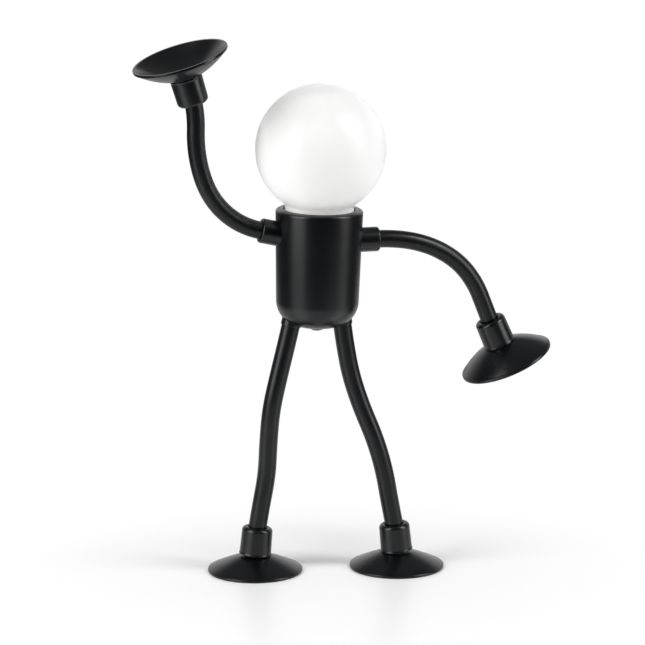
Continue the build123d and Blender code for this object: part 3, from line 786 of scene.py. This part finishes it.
class LAMP_OT_collars(bpy.types.Operator):
    """Make the round collars at the roots of the limbs"""

    bl_idname = "lamp.collars"
    bl_label = "Collars"

    def execute(self, context):
        edge = context.scene.lamp_body.edge
        for limb in LIMBS:
            route = Route(limb)
            end, bore = route.collar_length, route.tube + edge / 4
            outline = rounded(
                [
                    (bore, edge, 0),
                    (route.collar, edge, 0),
                    (route.collar, end, route.lip),
                    (bore, end, 2 * edge if route.kind == "arm" else edge / 2),
                ],
                steps=10,
            )
            place = along(route.root, route.out)
            piece = lathe(f"{limb}_root_collar", outline, place, satin_shell(), SMALL_SIDES)
            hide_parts(f"{limb}_collar")
            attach(piece, f"{limb}_root")
        return {"FINISHED"}


def sleeve_tree():
    """Geometry nodes that draw a capped round sleeve along a curve."""
    tree = bpy.data.node_groups.get("sleeve_along_route")
    if tree:
        return tree
    tree = bpy.data.node_groups.new("sleeve_along_route", "GeometryNodeTree")
    tree.interface.new_socket("Route", in_out="INPUT", socket_type="NodeSocketGeometry")
    for name, kind in (("Radius", "Float"), ("Step", "Float"), ("Sides", "Int"), ("Finish", "Material")):
        tree.interface.new_socket(name, in_out="INPUT", socket_type=f"NodeSocket{kind}")
    tree.interface.new_socket("Sleeve", in_out="OUTPUT", socket_type="NodeSocketGeometry")
    start = node(tree, "NodeGroupInput").outputs
    fine = node(
        tree, "GeometryNodeResampleCurve", {"Curve": start["Route"], "Length": start["Step"]}, mode="LENGTH"
    )
    ring = node(
        tree, "GeometryNodeCurvePrimitiveCircle", {"Resolution": start["Sides"], "Radius": start["Radius"]}
    )
    tube = node(
        tree,
        "GeometryNodeCurveToMesh",
        {"Curve": fine.outputs[0], "Profile Curve": ring.outputs[0], "Fill Caps": True},
    )
    real = node(tree, "GeometryNodeRealizeInstances", {0: tube.outputs[0]})
    done = node(tree, "GeometryNodeSetMaterial", {"Geometry": real.outputs[0], "Material": start["Finish"]})
    node(tree, "NodeGroupOutput", {0: done.outputs[0]})
    return tree


def sleeve(name, route, low, high):
    """Sleeve over a stretch of a limb, as a plain mesh."""
    limbs = bpy.context.scene.lamp_limbs
    curve = bpy.data.curves.new(name, "CURVE")
    curve.dimensions = "3D"
    curve.resolution_u = 24
    spline = curve.splines.new("BEZIER")
    knots = route.knots(low, high)
    spline.bezier_points.add(len(knots) - 1)
    for i, (point, reach) in enumerate(zip(spline.bezier_points, knots)):
        point.handle_left_type = point.handle_right_type = "FREE"
        point.co = route.point(reach)
        before = reach - knots[i - 1] if i else 0
        after = knots[i + 1] - reach if i + 1 < len(knots) else 0
        point.handle_left = point.co - route.way(reach) * before / 3
        point.handle_right = point.co + route.way(reach) * after / 3
    guide = bpy.data.objects.new(name, curve)
    bpy.context.scene.collection.objects.link(guide)
    modifier = guide.modifiers.new("sleeve", "NODES")
    modifier.node_group = sleeve_tree()
    values = {"Radius": route.tube, "Step": limbs.step, "Sides": limbs.sides, "Finish": silicone()}
    for item in modifier.node_group.interface.items_tree:
        if item.name in values:
            modifier[item.identifier] = values[item.name]
    graph = bpy.context.evaluated_depsgraph_get()
    mesh = bpy.data.meshes.new_from_object(guide.evaluated_get(graph))
    bpy.data.objects.remove(guide)
    smooth(mesh)
    return link(name, mesh, silicone())


class LAMP_OT_sleeves(bpy.types.Operator):
    """Make the silicone sleeves, each over one joint of its limb"""

    bl_idname = "lamp.sleeves"
    bl_label = "Sleeves"

    def execute(self, context):
        for limb in LIMBS:
            self.dress(Route(limb))
        return {"FINISHED"}

    @staticmethod
    def dress(route):
        """Three sleeves that meet halfway between the bends."""
        limb = route.limb
        words, spans = JOINT_WORDS[route.kind], SPAN_WORDS[route.kind]
        bends, entry, root = [route.bend(i) for i in range(3)], route.entry(), route.collar_length
        runs = bends[1] - bends[0], bends[2] - bends[1]
        first = bends[0] - root
        last = min(entry - bends[2], LAST_SHARE * first)
        halves = [first, min(runs[0] - first, runs[1] - last) - SEAM_ROOM, last]
        seams = [(bends[i] + halves[i] + bends[i + 1] - halves[i + 1]) / 2 for i in range(2)]
        bore = bpy.context.scene.lamp_cups.hub_bore - SEAT_PLAY
        cuts = [root - route.seat + SEAT_PLAY, *seams, entry + bore]
        covers = [(words[0], spans[0]), (words[1], spans[1]), (words[2],)]
        for i, word in enumerate(words):
            piece = sleeve(f"{limb}_{word}_cover", route, cuts[i], cuts[i + 1])
            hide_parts(*(f"{limb}_{cover}_sleeve" for cover in covers[i]))
            start, end = route.point(bends[i] - halves[i]), route.point(bends[i] + halves[i])
            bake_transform(piece)


class LAMP_OT_hubs(bpy.types.Operator):
    """Make the hubs between the sleeves and the suction cups"""

    bl_idname = "lamp.hubs"
    bl_label = "Hubs"

    def execute(self, context):
        cups, edge = context.scene.lamp_cups, context.scene.lamp_body.edge
        for limb in LIMBS:
            route = Route(limb)
            top, way = hub_place(limb)
            bore = route.tube + edge / 2
            high, bead = cups.hub_length, cups.hub_base + cups.hub_bead
            outline = rounded(
                [
                    (0, edge, 0),
                    (bead, edge, edge / 2),
                    (bead, 3 * edge, edge),
                    (cups.hub_base, 6 * edge, 2 * edge),
                    (cups.hub_top, high, cups.hub_fillet),
                    (bore + cups.hub_bevel, high, edge),
                    (bore, high - cups.hub_bevel, 0),
                    (bore, high - cups.hub_bore, 0),
                    (0, high - cups.hub_bore, 0),
                ],
                steps=10,
            )
            place = along(top + way * cups.hub_length, -way)
            piece = lathe(f"{limb}_cup_hub", outline, place, satin_shell(), SMALL_SIDES)
            body = f"{limb}_{SPAN_WORDS[route.kind][2]}"
            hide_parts(f"{limb}_hub")
            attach(piece, body)
        return {"FINISHED"}


class LAMP_OT_cups(bpy.types.Operator):
    """Make the four suction cups"""

    bl_idname = "lamp.cups"
    bl_label = "Suction cups"

    def execute(self, context):
        for limb in LIMBS:
            mouth, way = mouth_place(limb)
            kind = LIMBS[limb][0]
            outline, place = self.outline(cup_height(limb)), along(mouth, -way)
            piece = lathe(f"{limb}_suction_cup", outline, place, cup_rubber(), WIDE_SIDES)
            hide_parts(f"{limb}_cup")
            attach(piece, f"{limb}_{SPAN_WORDS[kind][2]}")
        return {"FINISHED"}

    @staticmethod
    def outline(height):
        """Outline of a cup, its mouth at zero: crown, dome, lip band, inner dome and disc."""
        cups, edge = bpy.context.scene.lamp_cups, bpy.context.scene.lamp_body.edge
        lip, foot = cups.lip_round, cups.lip_edge
        start, end = Vector((cups.seat, height)), Vector((cups.radius - lip, cups.lip))
        chord = end - start
        half = asin((start.y - end.y) / chord.length) - cups.crown
        ball = chord.length / 2 / sin(half)
        middle = start - Vector((sin(cups.crown), cos(cups.crown))) * ball

        def dome(radius, low, high, steps):
            reaches = [low + (high - low) * i / steps for i in range(steps + 1)]
            return [(x, middle.y + sqrt(radius**2 - (x - middle.x) ** 2)) for x in reaches]

        inner, rim = ball - cups.wall, cups.radius - cups.lip_width
        points = [(0, height)] + dome(ball, cups.seat, cups.radius - lip, 40)
        points += arc(cups.radius - lip, cups.lip - lip, lip, 60, 0, 8)
        points += arc(cups.radius - foot, foot, foot, 0, -90, 6)
        points += [(rim, 0)]
        points += dome(inner, rim - cups.wall, cups.disc, 40)
        _, level = dome(inner, cups.disc, cups.disc, 1)[0]
        low = level - cups.disc_depth
        points += rounded([(cups.disc, level, 0), (cups.disc, low, edge), (0, low, 0)])[1:]
        return points


class LAMP_OT_inner(bpy.types.Operator):
    """Give the pieces inside the body and the limbs their finishes"""

    bl_idname = "lamp.inner"
    bl_label = "Inner finishes"

    def execute(self, context):
        for name, (finish, code, roughness, grain, sockets) in INNER.items():
            material = moulded(finish, linear(code), roughness, 0.04, grain, 0.003, **sockets)
            self.paint(frame["nodes"][name], material)
        # Annealed aluminium wire of the bendable cores, dull and bright at once
        core = moulded("annealed_aluminium", linear("#BFC1C4"), 0.42, 0.05, 0.4, 0.004, Metallic=1.0)
        for name, piece in frame["nodes"].items():
            if name.endswith(("_core", "_stem")):
                self.paint(piece, core)
        return {"FINISHED"}

    @staticmethod
    def paint(piece, material):
        """Put one material on a piece that comes from the frame."""
        piece.data.materials.clear()
        piece.data.materials.append(material)


class LAMP_OT_stage(bpy.types.Operator):
    """Set the floor, the lights, the world and the camera"""

    bl_idname = "lamp.stage"
    bl_label = "Stage"

    def execute(self, context):
        stage = context.scene.lamp_stage
        self.floor(stage)
        self.world(stage)
        for name, place in LIGHTS.items():
            self.light(f"{name}_lamp", *place, getattr(stage, name))
        self.camera()
        context.scene.view_settings.view_transform = "Standard"
        return {"FINISHED"}

    @staticmethod
    def seen(tree):
        """One where the camera sees the surface, also through something."""
        path = node(tree, "ShaderNodeLightPath").outputs
        every = node(
            tree,
            "ShaderNodeMath",
            {0: path["Is Camera Ray"], 1: path["Is Transmission Ray"]},
            operation="ADD",
            use_clamp=True,
        )
        return every.outputs[0]

    def floor(self, stage):
        """Strip of pale polished paper on a dark floor; it keeps the lamp's shadow."""
        material = bpy.data.materials.new("pale_paper")
        material.use_nodes = True
        tree = material.node_tree
        tree.nodes.clear()
        place = node(tree, "ShaderNodeTexCoord").outputs["Object"]
        fibre = node(tree, "ShaderNodeTexNoise", {"Vector": place, "Scale": 1 / PAPER_FIBRE, "Detail": 3.0})
        relief = {"Height": fibre.outputs["Fac"], "Strength": 0.1, "Distance": PAPER_RELIEF}
        bump = node(tree, "ShaderNodeBump", relief)
        depth = node(tree, "ShaderNodeVectorMath", {0: place, 1: BEHIND}, operation="DOT_PRODUCT")
        across = node(tree, "ShaderNodeVectorMath", {0: place, 1: BESIDE}, operation="DOT_PRODUCT")
        offset = node(tree, "ShaderNodeMath", {0: across.outputs["Value"]}, operation="ABSOLUTE")
        strip = node(
            tree,
            "ShaderNodeMapRange",
            {"Value": offset.outputs[0], 1: PAPER_END, 2: PAPER_FULL, 3: 0.0, 4: 1.0},
            interpolation_type="SMOOTHSTEP",
        )
        sheet = node(
            tree,
            "ShaderNodeMapRange",
            {
                "Value": depth.outputs["Value"],
                1: -PAPER_END,
                2: -PAPER_FULL,
                3: 0.0,
                4: strip.outputs[0],
            },
            interpolation_type="SMOOTHSTEP",
        )
        tone = node(
            tree,
            "ShaderNodeMix",
            {0: sheet.outputs[0], 6: (*stage.front_floor, 1), 7: (*stage.floor, 1)},
            data_type="RGBA",
        )
        paper = node(
            tree, "ShaderNodeBsdfDiffuse", {"Color": tone.outputs[2], "Normal": bump.outputs["Normal"]}
        )
        ahead = Vector(BEHIND) * -FADE_AHEAD
        away = node(tree, "ShaderNodeVectorMath", {0: place, 1: ahead}, operation="DISTANCE")
        fade = node(
            tree,
            "ShaderNodeMapRange",
            {"Value": away.outputs["Value"], 1: stage.near, 2: stage.far, 3: 0.0, 4: 1.0},
            interpolation_type="SMOOTHSTEP",
        )
        blend = node(tree, "ShaderNodeMath", {0: self.seen(tree), 1: fade.outputs[0]}, operation="MULTIPLY")
        white = node(tree, "ShaderNodeEmission", {"Strength": 1.0})
        gloss = node(
            tree, "ShaderNodeBsdfGlossy", {"Color": (*[stage.sheen] * 3, 1), "Roughness": PAPER_POLISH}
        )
        polished = node(tree, "ShaderNodeAddShader", {0: paper.outputs[0], 1: gloss.outputs[0]})
        both = node(
            tree, "ShaderNodeMixShader", {0: blend.outputs[0], 1: polished.outputs[0], 2: white.outputs[0]}
        )
        node(tree, "ShaderNodeOutputMaterial", {"Surface": both.outputs[0]})
        form = bmesh.new()
        bmesh.ops.create_circle(form, cap_ends=True, segments=SMALL_SIDES, radius=FLOOR_RADIUS)
        mesh = bpy.data.meshes.new("floor")
        form.to_mesh(mesh)
        form.free()
        link("floor", mesh, material)

    def world(self, stage):
        """Pale backdrop behind the lamp, a dark room behind the camera and a dim ceiling."""
        world = bpy.data.worlds.new("soft_room")
        world.use_nodes = True
        bpy.context.scene.world = world
        tree = world.node_tree
        tree.nodes.clear()
        way = node(tree, "ShaderNodeTexCoord").outputs["Generated"]
        height = node(tree, "ShaderNodeSeparateXYZ", {0: way}).outputs["Z"]
        depth = node(tree, "ShaderNodeVectorMath", {0: way, 1: BEHIND}, operation="DOT_PRODUCT")
        wall = node(
            tree,
            "ShaderNodeMapRange",
            {
                "Value": depth.outputs["Value"],
                1: WALL_START,
                2: WALL_FULL,
                3: stage.room,
                4: stage.wall,
            },
            interpolation_type="SMOOTHSTEP",
        )
        strength = node(
            tree,
            "ShaderNodeMapRange",
            {"Value": height, 1: CEILING_START, 2: CEILING_FULL, 3: wall.outputs[0], 4: stage.ceiling},
            interpolation_type="SMOOTHSTEP",
        )
        light = node(tree, "ShaderNodeBackground", {"Strength": strength.outputs[0]})
        node(tree, "ShaderNodeOutputWorld", {"Surface": light.outputs[0]})

    @staticmethod
    def light(name, azimuth, distance, height, size, strength):
        """Rectangular soft light that faces the middle of the lamp."""
        data = bpy.data.lights.new(name, "AREA")
        data.shape = "RECTANGLE"
        data.size, data.size_y = size
        data.energy = strength * pi * size[0] * size[1]
        light = bpy.data.objects.new(name, data)
        turn = radians(azimuth)
        light.location = (sin(turn) * distance, -cos(turn) * distance, height)
        light.rotation_euler = (light.location - LIGHT_AIM).to_track_quat("Z", "Y").to_euler()
        light.visible_camera = False
        bpy.context.scene.collection.objects.link(light)

    @staticmethod
    def camera():
        """Camera at the photograph's place and angle."""
        data = bpy.data.cameras.new("camera")
        data.angle = CAMERA_ANGLE
        data.clip_end = CAMERA_END
        camera = bpy.data.objects.new("camera", data)
        foot = body_place().translation.copy()
        foot.z = 0
        camera.location = foot - Vector(BEHIND) * CAMERA_AWAY + Vector((0, 0, CAMERA_HEIGHT))
        target = foot + Vector(BESIDE) * AIM_BESIDE + Vector((0, 0, AIM_HEIGHT))
        camera.rotation_euler = (camera.location - target).to_track_quat("Z", "Y").to_euler()
        bpy.context.scene.collection.objects.link(camera)
        bpy.context.scene.camera = camera


class LAMP_PT_panel(bpy.types.Panel):
    """The lamp's settings and pieces"""

    bl_idname = "LAMP_PT_panel"
    bl_label = "Lamp"
    bl_space_type = "VIEW_3D"
    bl_region_type = "UI"
    bl_category = "Lamp"

    def draw(self, context):
        for settings in SETTINGS:
            group = getattr(context.scene, settings)
            box = self.layout.box()
            for name in group.__annotations__:
                box.prop(group, name)
        for step in STEPS:
            self.layout.operator(step.bl_idname)


SETTINGS = {
    "lamp_globe": GlobeSettings,
    "lamp_body": BodySettings,
    "lamp_button": ButtonSettings,
    "lamp_limbs": LimbSettings,
    "lamp_cups": CupSettings,
    "lamp_stage": StageSettings,
}
STEPS = (
    LAMP_OT_stage,
    LAMP_OT_globe,
    LAMP_OT_body,
    LAMP_OT_button,
    LAMP_OT_collars,
    LAMP_OT_sleeves,
    LAMP_OT_hubs,
    LAMP_OT_cups,
    LAMP_OT_inner,
)


def register():
    """Add the settings, the operators and the panel to Blender."""
    for name, group in SETTINGS.items():
        bpy.utils.register_class(group)
        setattr(bpy.types.Scene, name, PointerProperty(type=group))
    for step in STEPS:
        bpy.utils.register_class(step)
    bpy.utils.register_class(LAMP_PT_panel)


def unregister():
    """Take them out again."""
    bpy.utils.unregister_class(LAMP_PT_panel)
    for step in reversed(STEPS):
        bpy.utils.unregister_class(step)
    for name, group in SETTINGS.items():
        delattr(bpy.types.Scene, name)
        bpy.utils.unregister_class(group)


def main():
    """Make everything in order."""
    register()
    for step in STEPS:
        group, _, name = step.bl_idname.partition(".")
        getattr(getattr(bpy.ops, group), name)()


if __name__ == "__main__":
    main()
